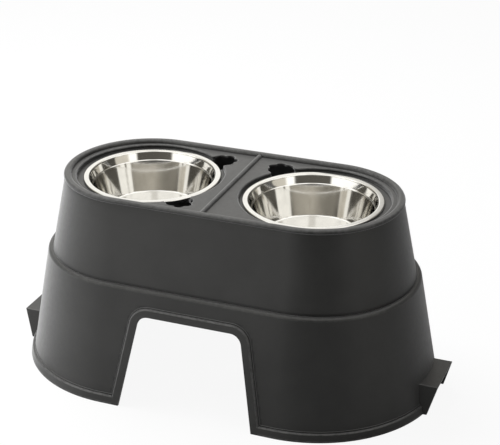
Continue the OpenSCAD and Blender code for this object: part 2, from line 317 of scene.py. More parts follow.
class Workshop:
    """Makes solids as plain meshes: sweeps, prisms, lofts, and cuts among them."""

    WELD = 0.02 * MM
    LEAST_AREA = 0.001 * MM * MM

    def __init__(self) -> None:
        """Builds the sweep's node tree once."""
        self.sweep_tree = self._sweep_tree()

    @staticmethod
    def _sweep_tree() -> bpy.types.NodeTree:
        """Builds the Geometry Nodes tree that runs a section along a path.

        Returns:
            The tree, with the path, section, caps, weld distance and finish as named inputs.
        """
        tree = bpy.data.node_groups.new("section along a path", "GeometryNodeTree")
        names = ("Path", "Section", "Caps", "Weld distance", "Finish")
        types = ("Object", "Object", "Bool", "Float", "Material")
        for name, kind in zip(names, types, strict=True):
            tree.interface.new_socket(name, in_out="INPUT", socket_type="NodeSocket" + kind)
        tree.interface.new_socket("Solid", in_out="OUTPUT", socket_type="NodeSocketGeometry")
        kinds = {
            "given": "NodeGroupInput",
            "path": "GeometryNodeObjectInfo",
            "section": "GeometryNodeObjectInfo",
            "upright": "GeometryNodeSetCurveNormal",
            "sweep": "GeometryNodeCurveToMesh",
            "weld": "GeometryNodeMergeByDistance",
            "real": "GeometryNodeRealizeInstances",
            "dress": "GeometryNodeSetMaterial",
            "result": "NodeGroupOutput",
        }
        made = {name: tree.nodes.new(kind) for name, kind in kinds.items()}
        made["upright"].mode = "Z_UP"
        for start, output, end, socket in (
            ("given", "Path", "path", "Object"),
            ("given", "Section", "section", "Object"),
            ("path", "Geometry", "upright", "Curve"),
            ("upright", "Curve", "sweep", "Curve"),
            ("section", "Geometry", "sweep", "Profile Curve"),
            ("given", "Caps", "sweep", "Fill Caps"),
            ("sweep", "Mesh", "weld", "Geometry"),
            ("given", "Weld distance", "weld", "Distance"),
            ("weld", "Geometry", "real", "Geometry"),
            ("real", "Geometry", "dress", "Geometry"),
            ("given", "Finish", "dress", "Material"),
            ("dress", "Geometry", "result", "Solid"),
        ):
            tree.links.new(made[start].outputs[output], made[end].inputs[socket])
        return tree

    @staticmethod
    def _poly_curve(name: str, points: Iterable[Sequence[float]], closed: bool) -> Piece:
        """Makes a straight-edged curve object that a node tree can read."""
        places = [tuple(p) if len(p) == 3 else (*p, 0.0) for p in points]
        curve = bpy.data.curves.new(name, "CURVE")
        curve.dimensions = "3D"
        spline = curve.splines.new("POLY")
        spline.points.add(len(places) - 1)
        for knot, place in zip(spline.points, places, strict=True):
            knot.co = (*place, 1.0)
        spline.use_cyclic_u = closed
        return linked(name, curve)

    def sweep(
        self,
        name: str,
        path: Iterable[Point],
        section: Iterable[Point],
        finish: Material,
        ring: bool = True,
        closed_section: bool = True,
    ) -> Piece:
        """Runs a section along a path in the XY plane with the Geometry Nodes tree.

        Args:
            name: Name of the new piece.
            path: The path, counter-clockwise where it is a ring.
            section: Points as distance to the right of the path, and height.
            finish: Material of the result.
            ring: Whether the path closes on itself.
            closed_section: Whether the section closes on itself.

        Returns:
            The piece, as a plain mesh.
        """
        path_obj = self._poly_curve(name + ".path", path, ring)
        flipped = [(x, -y) for x, y in section]
        section_obj = self._poly_curve(name + ".section", flipped, closed_section)
        obj = linked(name, bpy.data.meshes.new(name))
        modifier = obj.modifiers.new("sweep", "NODES")
        modifier.node_group = self.sweep_tree
        values = {
            "Path": path_obj,
            "Section": section_obj,
            "Caps": not ring,
            "Weld distance": self.WELD,
            "Finish": finish,
        }
        for item in self.sweep_tree.interface.items_tree:
            if item.in_out == "INPUT":
                modifier[item.identifier] = values[item.name]
        self.settle(obj)
        for helper in (path_obj, section_obj):
            bpy.data.curves.remove(helper.data)
        self.close(obj)
        return obj

    @staticmethod
    def settle(obj: Piece) -> None:
        """Turns the evaluated object into a plain mesh and removes its modifiers."""
        bpy.context.view_layer.update()
        graph = bpy.context.evaluated_depsgraph_get()
        old, obj.data = obj.data, bpy.data.meshes.new_from_object(obj.evaluated_get(graph))
        obj.data.name = obj.name
        obj.modifiers.clear()
        bpy.data.meshes.remove(old)

    @staticmethod
    def close(obj: Piece, weld: float = 0.1 * WELD) -> None:
        """Merges doubles, drops empty faces, splits many-sided ones and turns all outwards."""
        mesh = bmesh.new()
        mesh.from_mesh(obj.data)
        bmesh.ops.remove_doubles(mesh, verts=mesh.verts, dist=weld)
        bmesh.ops.dissolve_degenerate(mesh, dist=weld, edges=mesh.edges)
        bmesh.ops.triangulate(mesh, faces=[face for face in mesh.faces if len(face.verts) > 4])
        bmesh.ops.recalc_face_normals(mesh, faces=mesh.faces)
        mesh.to_mesh(obj.data)
        mesh.free()

    def loft(self, name: str, rings: Sequence[Sequence[Place]]) -> Piece:
        """Skins rings of equally many points into a closed solid with flat ends."""
        size = len(rings[0])
        last = (len(rings) - 1) * size
        faces = [
            (k + i, k + (i + 1) % size, k + size + (i + 1) % size, k + size + i)
            for k in range(0, last, size)
            for i in range(size)
        ]
        faces += [tuple(range(size)), tuple(range(last, last + size))]
        data = bpy.data.meshes.new(name)
        data.from_pydata([p for ring in rings for p in ring], [], faces)
        obj = linked(name, data)
        self.close(obj)
        return obj

    def prism(self, name: str, outline: Sequence[Point], low: float, high: float) -> Piece:
        """Makes an upright prism over an outline, from a low to a high level."""
        return self.loft(name, [[(x, y, z) for x, y in outline] for z in (low, high)])

    @staticmethod
    def place(obj: Piece, matrix: Matrix) -> Piece:
        """Moves a piece's mesh by a matrix and leaves its object at the origin."""
        obj.data.transform(matrix)
        obj.data.update()
        return obj

    def work(self, target: Piece, join: Join, *tools: Piece) -> None:
        """Works solids into another one after the other, and removes them."""
        for tool in tools:
            modifier = target.modifiers.new("work", "BOOLEAN")
            modifier.operation = join.value
            modifier.solver = "MANIFOLD"
            modifier.object = tool
            self.settle(target)
            bpy.data.meshes.remove(tool.data)

    @staticmethod
    def round_edges(obj: Piece, width: float, steps: int = 3, sharp: float = 30) -> None:
        """Rounds the edges of a piece that are sharper than an angle in degrees."""
        modifier = obj.modifiers.new("edges", "BEVEL")
        modifier.width = width
        modifier.segments = steps
        modifier.limit_method = "ANGLE"
        modifier.angle_limit = radians(sharp)
        modifier.use_clamp_overlap = True
        Workshop.settle(obj)

    @staticmethod
    def shade(obj: Piece, finish: Material, sharp: float = 32) -> None:
        """Gives a piece one finish and smooth faces, with its sharp edges kept.

        Args:
            obj: The piece.
            finish: Its material.
            sharp: Angle over which an edge stays sharp, in degrees.
        """
        obj.data.materials.clear()
        obj.data.materials.append(finish)
        for option, value in (("material_index", 0), ("use_smooth", True)):
            obj.data.polygons.foreach_set(option, [value] * len(obj.data.polygons))
        obj.data.set_sharp_from_angle(angle=radians(sharp))
        modifier = obj.modifiers.new("normals", "WEIGHTED_NORMAL")
        modifier.keep_sharp = True
        modifier.weight = 100
        Workshop.settle(obj)
        Workshop.mark_bends(obj)

    @staticmethod
    def mark_bends(obj: Piece) -> None:
        """Stores how sharply each face bends, above nought outward and below it inward, in 1/m."""
        grid = bmesh.new()
        grid.from_mesh(obj.data)
        bends = [
            sum(edge.calc_face_angle_signed(0) * edge.calc_length() for edge in face.edges)
            / max(face.calc_area(), Workshop.LEAST_AREA)
            for face in grid.faces
        ]
        grid.free()
        obj.data.attributes.new("bend", "FLOAT", "FACE").data.foreach_set("value", bends)


@dataclass
class StadiumPath:
    """Path round the stand at a base half depth, about the two end centres."""

    sizes: StandSizes
    base: float = 150.0 * MM
    steps: int = 96
    straight_steps: int = 72

    def points(self) -> list[Point]:
        """Points of the path, counter-clockwise."""
        out: list[Point] = []
        for side in (1, -1):
            centre = (side * self.sizes.end_x, 0.0)
            out += arc(centre, self.base, -90 * side, -90 * side + 180, self.steps)
            for i in range(1, self.straight_steps):
                along = 1 - 2 * i / self.straight_steps
                out.append((side * self.sizes.end_x * along, side * self.base))
        return out

    def section(self, line: Sequence[Point], closed: bool, longest: float = 9 * MM) -> list[Point]:
        """Turns half depths into distances from the path, and divides long faces.

        Args:
            line: The section, as half depth and height.
            closed: Whether the section closes on itself.
            longest: Length over which a straight piece of it is divided.

        Returns:
            The section, as distance from the path and height.
        """
        out: list[Point] = []
        last = line[0] if closed else line[-1]
        for (x, z), (next_x, next_z) in zip(line, [*line[1:], last], strict=True):
            pieces = max(1, round(hypot(next_x - x, next_z - z) / longest))
            for i in range(pieces):
                share = i / pieces
                out.append((x + (next_x - x) * share - self.base, z + (next_z - z) * share))
        return out


@dataclass
class PawOutline:
    """Outline of a bowl's recess with its paw-shaped finger holes, as one smooth curve.

    Angles are the holes' directions in degrees, and toes are counted in steps of the toe angle.
    The walk has at least so many points, and each is pulled onto the outline so many times.
    """

    sizes: StandSizes
    angles: tuple[float, ...]
    toes: tuple[float, ...] = (-1.5, -0.5, 0.5, 1.5)
    blend: float = 3.0 * MM
    step: float = 0.9 * MM
    probe: float = 0.02 * MM
    least: int = 20
    pulls: int = 3

    def _parts(self, x: float, y: float, with_recess: bool) -> list[float]:
        """Distances of a point from each shape that the outline goes round."""
        s = self.sizes
        parts = [hypot(x, y) - s.recess_r] if with_recess else []
        for turn in self.angles:
            c, n = cos(radians(turn)), sin(radians(turn))
            along = x * c + y * n - s.recess_r - s.finger_out
            across = -x * n + y * c
            parts.append(hypot(along, across) - s.pad_r)
            for toe in self.toes:
                a = radians(toe * s.toe_angle)
                toe_x, toe_y = s.toe_out * cos(a), s.toe_out * sin(a)
                parts.append(hypot(along - toe_x, across - toe_y) - s.toe_r)
            length = s.finger_out + s.seat_space + s.notch_under
            dx = abs(along + length / 2) - length / 2
            dy = abs(across) - s.notch_w / 2
            parts.append(hypot(max(dx, 0.0), max(dy, 0.0)) + min(max(dx, dy), 0.0))
        return parts

    def distance(self, x: float, y: float, with_recess: bool = True) -> float:
        """Distance of a point from the outline, blended where its shapes meet."""
        out = inf
        for d in self._parts(x, y, with_recess):
            h = max(self.blend - abs(out - d), 0.0) / self.blend if out < inf else 0.0
            out = min(out, d) - h * h * self.blend / 4
        return out

    def _slope(self, x: float, y: float) -> Vector:
        """Unit vector that points straight out of the outline."""
        e, far = self.probe, self.distance
        return Vector((far(x + e, y) - far(x - e, y), far(x, y + e) - far(x, y - e))).normalized()

    def trace(self) -> list[tuple[Vector, Vector]]:
        """Walks once round the outline, until it is near its start again.

        Returns:
            Each point of it, with the direction out of it.
        """
        turn = radians(self.angles[0] + 180)
        start = Vector((cos(turn), sin(turn))) * self.sizes.recess_r
        place, near = start.copy(), 0.75 * self.step
        out: list[tuple[Vector, Vector]] = []
        while len(out) < self.least or (place - start).length > near:
            slope = self._slope(*place)
            out.append((place.copy(), slope))
            place = place + self.step * Vector((-slope.y, slope.x))
            for _ in range(self.pulls):
                place -= self._slope(*place) * self.distance(*place)
        return out


@dataclass
class Part(ABC):
    """A piece that is built from the sizes in place of its CAD node."""

    sizes: StandSizes
    shop: Workshop
    finish: Material

    @abstractmethod
    def build(self) -> Piece:
        """Builds the piece and puts it in place of its CAD node."""


@dataclass
class TopTray(Part):
    """Upper shell: rim, deck, recesses with their seats, finger holes, rib and wall."""

    holes: tuple[tuple[int, tuple[float, ...]], ...] = ((-1, (45.0, -45.0)), (1, (135.0,)))
    hole_edge: float = 1.3 * MM
    edge_fade: float = 7.0 * MM
    foot_round: float = 0.8 * MM
    seat_bend: float = 1.5 * MM
    ledge: float = 0.1 * MM

    def _section(self) -> list[Point]:
        """Deck, rim and wall as a section that starts and ends at the stand's middle line."""
        s = self.sizes
        under = s.deck_z - s.deck_t
        inner = s.rim_out - s.rim_w
        foot, near, far = self.foot_round, s.rim_round_in, s.rim_round_out
        return [
            (0.0, s.deck_z),
            *arc((inner - foot, s.deck_z + foot), foot, -90, 0, 4),
            *arc((inner + near, s.stand_h - near), near, 180, 90, 10),
            *arc((s.rim_out - far, s.stand_h - far), far, 90, 0, 12),
            *arc((s.rim_out - s.rim_lip, s.wall_top_z + s.rim_lip), s.rim_lip, 0, -90, 6),
            (s.tray_out(s.foot_z), s.foot_z),
            (s.tray_out(s.foot_z) - s.wall_t, s.foot_z),
            (s.tray_out(under) - s.wall_t, under),
            (0.0, under),
        ]

    def _ring(self, side: int, name: str, line: Iterable[Point]) -> Piece:
        """Turns a section given as radius and height round the axis of one recess."""
        s = self.sizes
        path = circle((side * s.recess_x, 0.0), s.recess_r)
        return self.shop.sweep(name, path, [(r - s.recess_r, z) for r, z in line], self.finish)

    def _cup(self, side: int) -> Piece:
        """Thick ring under the deck that the wall and seat of one recess are cut from."""
        s = self.sizes
        inside = s.seat_hole_r - 2 * s.recess_shift
        outside = s.recess_r + s.deck_t
        line = box(inside, outside, s.seat_z - s.deck_t, s.deck_z - s.deck_t / 2)
        return self._ring(side, "cup", line)

    def _seat_hole(self, side: int) -> Piece:
        """Solid that cuts the hole for a bowl's body through its seat."""
        s = self.sizes
        outline = circle((side * s.bowl_x, 0.0), s.seat_hole_r)
        return self.shop.prism("seat", outline, s.seat_z - 2 * s.deck_t, s.rim_z)

    def _hollow(self, side: int) -> Piece:
        """Ring that cuts the lower part of one recess out of its cup."""
        s = self.sizes
        inside = s.seat_hole_r - 3 * s.recess_shift
        outside = s.recess_r - self.ledge
        bend = self.seat_bend
        line = [
            (inside, s.deck_z - s.deck_t / 4),
            (inside, s.seat_z),
            *arc((outside - bend, s.seat_z + bend), bend, -90, 0, 5),
            (outside, s.deck_z - s.deck_t / 4),
        ]
        return self._ring(side, "hollow", line)

    def _opening(self, side: int, turns: tuple[float, ...]) -> Piece:
        """Solid that cuts the recess and its finger holes through the deck, with round edges."""
        s = self.sizes
        outline = PawOutline(s, turns)
        walk = outline.trace()
        edges = []
        for place, _ in walk:
            clear = outline.distance(*place, with_recess=False) / self.edge_fade
            share = min(max(clear, 0.0), 1.0)
            share = share * share * (3 - 2 * share)
            edges.append(self.hole_edge + (s.recess_edge - self.hole_edge) * share)
        levels = [(1.0, 0.0, s.stand_h - s.deck_z + s.rim_h)]
        levels += [(1 - sin(a), cos(a) - 1, 0.0) for a in map(radians, range(0, 91, 10))]
        rings = [
            [
                (
                    side * s.recess_x + place.x + slope.x * edge * out,
                    place.y + slope.y * edge * out,
                    s.deck_z + edge * down + lift,
                )
                for (place, slope), edge in zip(walk, edges, strict=True)
            ]
            for out, down, lift in levels
        ]
        rings.append([(side * s.recess_x + p.x, p.y, s.rim_z - MM) for p, _ in walk])
        return self.shop.loft("opening", rings)

    def _notch(self, side: int, turn: float) -> Piece:
        """Solid that cuts one finger hole through the seat under the bowl's rim."""
        s = self.sizes
        inside = s.bowl_rim_r - s.notch_under
        outside = s.recess_r + 2 * s.deck_t
        half = s.notch_w / 2 - self.ledge
        outline = box(inside, outside, -half, half)
        notch = self.shop.prism("notch", outline, s.seat_z - 2 * s.deck_t, s.rim_z)
        middle = Matrix.Translation((side * s.recess_x, 0, 0))
        return self.shop.place(notch, middle @ Matrix.Rotation(radians(turn), 4, "Z"))

    def _rib(self) -> Piece:
        """Rib across the deck between the bowls."""
        s = self.sizes
        half = s.rib_w / 2
        reach = s.rim_out - s.rim_w + s.rim_round_in
        foot = self.foot_round
        line = [
            (half + foot, -MM),
            (half + foot, 0.0),
            *arc((half + foot, foot), foot, -90, -180, 4),
            *arc((0.0, s.rib_h - half), half, 0, 180, 16),
            *arc((-half - foot, foot), foot, 0, -90, 4),
            (-half - foot, -MM),
        ]
        rings = [[(x, y, s.deck_z + z) for x, z in line] for y in (-reach, reach)]
        return self.shop.loft("rib", rings)

    def build(self) -> Piece:
        """Builds the upper shell."""
        s = self.sizes
        path, work = StadiumPath(s), self.shop.work
        section = path.section(self._section(), closed=False)
        tray = self.shop.sweep(
            "top_tray_shell", path.points(), section, self.finish, closed_section=False
        )
        work(tray, Join.FUSE, self._rib())
        for side, turns in self.holes:
            work(tray, Join.FUSE, self._cup(side))
            work(tray, Join.CUT, self._opening(side, turns), self._hollow(side))
            notches = [self._notch(side, turn) for turn in turns]
            work(tray, Join.CUT, self._seat_hole(side), *notches)
        self.shop.shade(tray, self.finish)
        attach(tray, "stand")
        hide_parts("top_tray")
        return tray


@dataclass
class BaseSkirt(Part):
    """Lower shell: collar, leaning wall, hem, two framed arches and two end grips."""

    edge_round: float = 0.9 * MM
    collar_lip: float = 0.8 * MM
    shelf_gap: float = 0.02 * MM
    band_sunk: float = 1.5 * MM
    band_skin: float = 0.05 * MM
    over_grip: float = 4.0 * MM
    past_grip: float = 5.0 * MM
    inner_steps: int = 160

    def _section(self) -> list[Point]:
        """Collar, shelf, wall and hem as one closed section."""
        s = self.sizes
        inner_w = s.band_w2 - s.wall_t
        inner_t = s.band_t2 - s.wall_t
        shelf_under = s.foot_z - s.shelf_t
        shelf_in = s.tray_out(s.foot_z) - s.wall_t - s.shelf_lip
        lip = self.collar_lip
        joint_x = s.tray_out(s.belt_h) + s.fit_gap
        return [
            *arc((joint_x + lip, s.belt_h - lip), lip, 180, 90, 4),
            *arc((s.collar_out - s.shoulder_r, s.collar_z), s.shoulder_r, 90, 0, 14),
            *[s.wall_point(up, out) for up, out in s.band_line()],
            s.wall_point(-s.below, inner_t),
            s.wall_point(inner_w, inner_t),
            s.wall_point(inner_w, -s.wall_t),
            (s.skirt_out(shelf_under) - s.wall_t / cos(s.wall_angle), shelf_under),
            (shelf_in, shelf_under),
            (shelf_in, s.foot_z - self.shelf_gap),
            (s.tray_out(s.foot_z) + s.fit_gap, s.foot_z - self.shelf_gap),
        ]

    def _arch_line(self) -> list[Point]:
        """Arch outline on the wall, from the right foot over the top to the left foot."""
        s = self.sizes
        lean = degrees(s.arch_angle)
        up = s.arch_top - s.arch_round
        foot = s.end_x - s.leg_w
        corner = foot - up * tan(s.arch_angle) - s.arch_round / cos(s.arch_angle)
        low = 1.5 * s.below
        foot_x = foot + low * tan(s.arch_angle)
        return [
            (foot_x, -low),
            *arc((corner, up), s.arch_round, lean, 90, 16),
            *arc((-corner, up), s.arch_round, 90, 180 - lean, 16),
            (-foot_x, -low),
        ]

    def _on_wall(self, obj: Piece, back: bool) -> Piece:
        """Lays a piece made flat on the outside of the front or back wall."""
        s = self.sizes
        place = Matrix.Translation((0, -s.skirt_out(0), 0)) @ Matrix.Rotation(
            pi / 2 - s.wall_angle, 4, "X"
        )
        if back:
            place = Matrix.Rotation(pi, 4, "Z") @ place
        return self.shop.place(obj, place)

    def _band(self) -> Piece:
        """Band round one arch."""
        s = self.sizes
        low = -self.band_sunk
        section = [*s.band_line()[:-1], (-MM, s.band_t2), (-MM, low), (s.band_w1, low)]
        return self.shop.sweep("band", self._arch_line(), section, self.finish, ring=False)

    def _band_hollow(self) -> Piece:
        """Solid that cuts the inside of the band round one arch."""
        s = self.sizes
        outer = s.band_w2 - s.wall_t
        top = s.band_t2 - s.wall_t - self.band_skin
        section = box(-MM, outer, -s.wall_t - MM, top)
        return self.shop.sweep("hollow", self._arch_line(), section, self.finish, ring=False)

    def _grip(self) -> Piece:
        """Outside of the grip at the right end, before its inside is cut away."""
        s = self.sizes
        inside = s.end_x + s.skirt_out(s.grip_h) - s.grip_w / 2
        foot_x = s.end_x + s.hem_out - s.grip_foot_in
        rings = [
            [(x, y, z) for x, y in box(inside, outer, -s.grip_half(z), s.grip_half(z))]
            for z, outer in ((-MM, foot_x), (s.grip_h, s.grip_x))
        ]
        grip = self.shop.loft("grip", rings)
        self.shop.round_edges(grip, self.edge_round)
        return grip

    def _grip_inner(self) -> Piece:
        """Room inside the wall, kept clear of the grips."""
        s = self.sizes
        mid = s.wall_t / 2
        high = s.grip_h + self.over_grip
        line = [
            s.wall_point(-s.below, s.band_t2 - mid),
            s.wall_point(s.band_w2 - mid, s.band_t2 - mid),
            s.wall_point(s.band_w2 - mid, -mid),
            s.wall_point(high, -mid),
        ]
        rings = [
            [(s.end_x + x, y, z) for x, y in circle((0, 0), r, self.inner_steps)] for r, z in line
        ]
        return self.shop.loft("inner", rings)

    def _grip_space(self) -> Piece:
        """Hand space of a grip, which opens the end wall under the ledge."""
        s = self.sizes
        low, top = -2 * s.below, s.grip_h - s.grip_t
        wide, narrow = (s.grip_half(z) - s.grip_t for z in (low, top))
        line = [(wide, low), (narrow, top), (-narrow, top), (-wide, low)]
        ends = (s.end_x, s.grip_x + self.past_grip)
        space = self.shop.loft("space", [[(x, y, z) for y, z in line] for x in ends])
        self.shop.round_edges(space, 2 * self.edge_round)
        return space

    def _both_ends(self, solid: Piece) -> tuple[Piece, Piece]:
        """Copies a solid made for the right end to the left end, and gives both."""
        twin = linked(solid.name, solid.data.copy())
        return self.shop.place(twin, Matrix.Rotation(pi, 4, "Z")), solid

    def build(self) -> Piece:
        """Builds the lower shell."""
        s = self.sizes
        path, work = StadiumPath(s), self.shop.work
        section = path.section(self._section(), closed=True)
        skirt = self.shop.sweep("base_skirt_shell", path.points(), section, self.finish)
        for back in (False, True):
            work(skirt, Join.FUSE, self._on_wall(self._band(), back))
        grip = self._grip()
        work(grip, Join.CUT, self._grip_inner())
        work(skirt, Join.FUSE, *self._both_ends(grip))
        for back in (False, True):
            opening = self.shop.prism("arch", self._arch_line(), -s.wall_t - MM, s.band_t2 + MM)
            tools = (self._band_hollow(), opening)
            work(skirt, Join.CUT, *[self._on_wall(tool, back) for tool in tools])
        work(skirt, Join.CUT, *self._both_ends(self._grip_space()))
        x, y = s.grip_x + MM, s.hem_out + 2 * s.below
        work(skirt, Join.CUT, self.shop.prism("floor", box(-x, x, -y, y), -3 * s.below, 0.0))
        self.shop.shade(skirt, self.finish)
        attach(skirt, "stand")
        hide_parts("base_skirt")
        return skirt


@dataclass
class SteelBowl(Part):
    """One spun steel bowl with a flat flange and a rolled edge."""

    side: int
    segments: int = 256
    crease: float = 0.4 * MM
    step_lean: float = 0.1 * MM
    roll_tuck: float = 0.2 * MM
    hub_r: float = 20.0 * MM

    def _inside(self, out: float) -> list[Point]:
        """Section of the bowl's inside, moved out by a thickness, from its middle to the flange."""
        s = self.sizes
        band_r = s.mouth_r - s.band_in
        lean = atan(s.taper_in / (s.bowl_depth - s.band_drop))
        bend_x = band_r - s.taper_in + s.floor_bend * (tan(lean) - 1 / cos(lean))
        dome_r = (bend_x**2 + s.floor_rise**2) / (2 * s.floor_rise)
        dome_end = 90 - degrees(asin(bend_x / dome_r))
        bend = (bend_x, s.floor_bend - s.bowl_depth)
        crease, slant = self.crease, self.crease * sqrt(0.5)
        foot = (band_r + out, -s.band_drop)
        top = (foot[0] + s.band_step, foot[1] + s.band_step)
        return [
            *arc((0.0, s.floor_rise - s.bowl_depth - dome_r), dome_r - out, 90, dome_end, 14),
            *arc(bend, s.floor_bend + out, -90, -degrees(lean), 14),
            (foot[0] - crease * sin(lean), foot[1] - crease * cos(lean)),
            foot,
            (foot[0] + slant, foot[1] + slant),
            (top[0] - slant, top[1] - slant),
            top,
            (top[0] + self.step_lean, top[1] + crease),
            *arc((s.mouth_r + s.mouth_round, -s.mouth_round), s.mouth_round - out, 180, 90, 8),
        ]

    def build(self) -> Piece:
        """Spins the bowl."""
        s = self.sizes
        name = "left_bowl" if self.side < 0 else "right_bowl"
        roll = s.roll_h / 2
        roll_x = s.bowl_rim_r - roll
        line = [
            *self._inside(0.0),
            *arc((roll_x, -roll), roll, 90, -180, 24),
            (roll_x - roll, -s.steel_t - self.roll_tuck),
            *reversed(self._inside(s.steel_t)),
        ]
        ring = circle((self.side * s.bowl_x, 0.0), self.hub_r, self.segments)
        section = [(x - self.hub_r, s.rim_z + z) for x, z in line]
        bowl = self.shop.sweep(name + "_spun", ring, section, self.finish, closed_section=False)
        self.shop.shade(bowl, self.finish, sharp=40)
        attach(bowl, name + "_body")
        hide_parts(name)
        return bowl


class Graph:
    """Adds nodes to the shader tree of a material or a world, and joins them."""

    def __init__(self, owner: bpy.types.ID) -> None:
        """Turns on the owner's nodes and takes its tree."""
        owner.use_nodes = True
        self.tree = owner.node_tree

    def feed(self, socket: Socket, value: object) -> None:
        """Links a socket to an input, or sets the input to a plain value."""
        if isinstance(value, Socket):
            self.tree.links.new(value, socket)
        else:
            socket.default_value = (*value, 1) if socket.type == "RGBA" else value

    def fill(self, node: bpy.types.Node, **inputs: object) -> None:
        """Feeds a node's inputs, by name with spaces as underscores."""
        for name, value in inputs.items():
            self.feed(node.inputs[name.replace("_", " ")], value)

    def add(self, kind: str, **inputs: object) -> bpy.types.Node:
        """Adds a node by its type without the leading words, and feeds its inputs."""
        node = self.tree.nodes.new("ShaderNode" + kind)
        self.fill(node, **inputs)
        return node

    def result(self, node: bpy.types.Node, values: dict[int, object], output: int = 0) -> Socket:
        """Feeds a node's inputs by their number and gives one of its outputs."""
        for place, value in values.items():
            self.feed(node.inputs[place], value)
        return node.outputs[output]

    def math(self, operation: str, *values: object) -> Socket:
        """Adds a Math node and gives its result."""
        node = self.add("Math")
        node.operation = operation
        return self.result(node, dict(enumerate(values)))

    def times(self, first: object, second: object) -> Socket:
        """Multiplies two values."""
        return self.math("MULTIPLY", first, second)

    def ramp(self, value: Socket, stops: Sequence[tuple[float, Colour]]) -> Socket:
        """Adds a colour ramp with stops of position and colour, and gives its colour."""
        node = self.add("ValToRGB", Fac=value)
        elements = node.color_ramp.elements
        for place, _ in stops[2:]:
            elements.new(place)
        for element, (place, colour) in zip(elements, stops, strict=True):
            element.position = place
            element.color = (*colour, 1)
        return node.outputs["Color"]

    def between(self, value: Socket, limits: Point, start: float = 0, end: float = 1) -> Socket:
        """Carries a value smoothly from the range of its limits to another, held at both ends."""
        node = self.add("MapRange")
        node.interpolation_type = "SMOOTHSTEP"
        return self.result(node, dict(enumerate((value, *limits, start, end))))

    def blend(self, share: object, first: object, second: object) -> Socket:
        """Mixes two colours."""
        node = self.add("Mix")
        node.data_type = "RGBA"
        return self.result(node, {0: share, 6: first, 7: second}, 2)

    def layers(self, share: Socket, first: Socket, second: Socket) -> Socket:
        """Mixes two shaders."""
        return self.result(self.add("MixShader"), {0: share, 1: first, 2: second})

    def noise(self, vector: Socket, scale: float, detail: float) -> Socket:
        """Adds a noise texture and gives its value."""
        return self.add("TexNoise", Vector=vector, Scale=scale, Detail=detail).outputs["Fac"]

    def bump(self, height: Socket, strength: float, depth: float, **below: Socket) -> Socket:
        """Adds a bump, on top of the one given as Normal where there is one."""
        node = self.add("Bump", Height=height, Strength=strength, Distance=depth, **below)
        return node.outputs["Normal"]


@dataclass(frozen=True)
class MouldedPlastic:
    """Charcoal moulded plastic: fine grain, faint mottling, edges smoothed by wear and paler,
    partly as painted highlight.

    Its edges show wear and a painted highlight, paler, where Workshop.mark_bends finds a strong
    outward bend, and it is darkened with painted shade in grooves, which bend inward, and in a thin
    line round the shell at the seam's height.
    """

    name: str
    colour: Colour
    mottling: Point = (0.82, 1.18)
    # Outward edges: wear plus a painted highlight, paler than the body.
    wear_and_highlight: Colour = (0.085, 0.085, 0.084)
    # Painted shade: grooves and the thin line at the seam's height are darkened to this colour.
    painted_shade: Colour = (0.004, 0.004, 0.004)
    wear_and_highlight_bends: Point = (150, 900)
    groove_bends: Point = (-700, -80)
    seam: float = -MM
    seam_reach: Point = (1.5 * MM, 2.6 * MM)
    mottle_scale: float = 14
    scuff_scale: float = 160
    grain_scale: float = 1500
    roughness: float = 0.42
    specular: float = 0.55
    sheen: float = 0.45

    def material(self) -> Material:
        """Builds the node material."""
        mat = bpy.data.materials.new(self.name)
        graph = Graph(mat)
        place = graph.add("TexCoord").outputs["Object"]
        stored = graph.add("Attribute")
        stored.attribute_name = "bend"
        bend = stored.outputs["Fac"]
        mottle = graph.noise(place, self.mottle_scale, 4)
        scuffs = graph.noise(place, self.scuff_scale, 5)
        grain = graph.noise(place, self.grain_scale, 2)
        height = graph.add("SeparateXYZ", Vector=place).outputs["Z"]
        # Painted shade in a thin line at the seam's height and in grooves; the mask is one where
        # there is none.
        off_seam = graph.math("ABSOLUTE", graph.math("SUBTRACT", height, self.seam))
        # Paler outward edges: wear plus a painted highlight on the ridges.
        wear_and_highlight_strength = graph.times(bend, graph.between(scuffs, (0.3, 0.7), 0.6, 1.2))
        edge = graph.between(wear_and_highlight_strength, self.wear_and_highlight_bends)
        off_groove = graph.between(bend, self.groove_bends)
        unshaded = graph.times(off_groove, graph.between(off_seam, self.seam_reach))
        darker, lighter = (tuple(k * c for c in self.colour) for k in self.mottling)
        base = graph.blend(graph.between(mottle, (0.3, 0.7)), darker, lighter)
        rough = graph.between(scuffs, (0.25, 0.75), self.roughness - 0.04, self.roughness + 0.05)
        graph.fill(
            graph.tree.nodes["Principled BSDF"],
            Base_Color=graph.blend(edge, graph.blend(unshaded, self.painted_shade, base), self.wear_and_highlight),
            Roughness=graph.math("SUBTRACT", rough, graph.times(edge, 0.1)),
            Specular_IOR_Level=self.specular,
            Sheen_Weight=self.sheen,
            Sheen_Roughness=self.sheen,
            Normal=graph.bump(mottle, 0.08, 1.2 * MM, Normal=graph.bump(grain, 0.25, 0.05 * MM)),
        )
        return mat


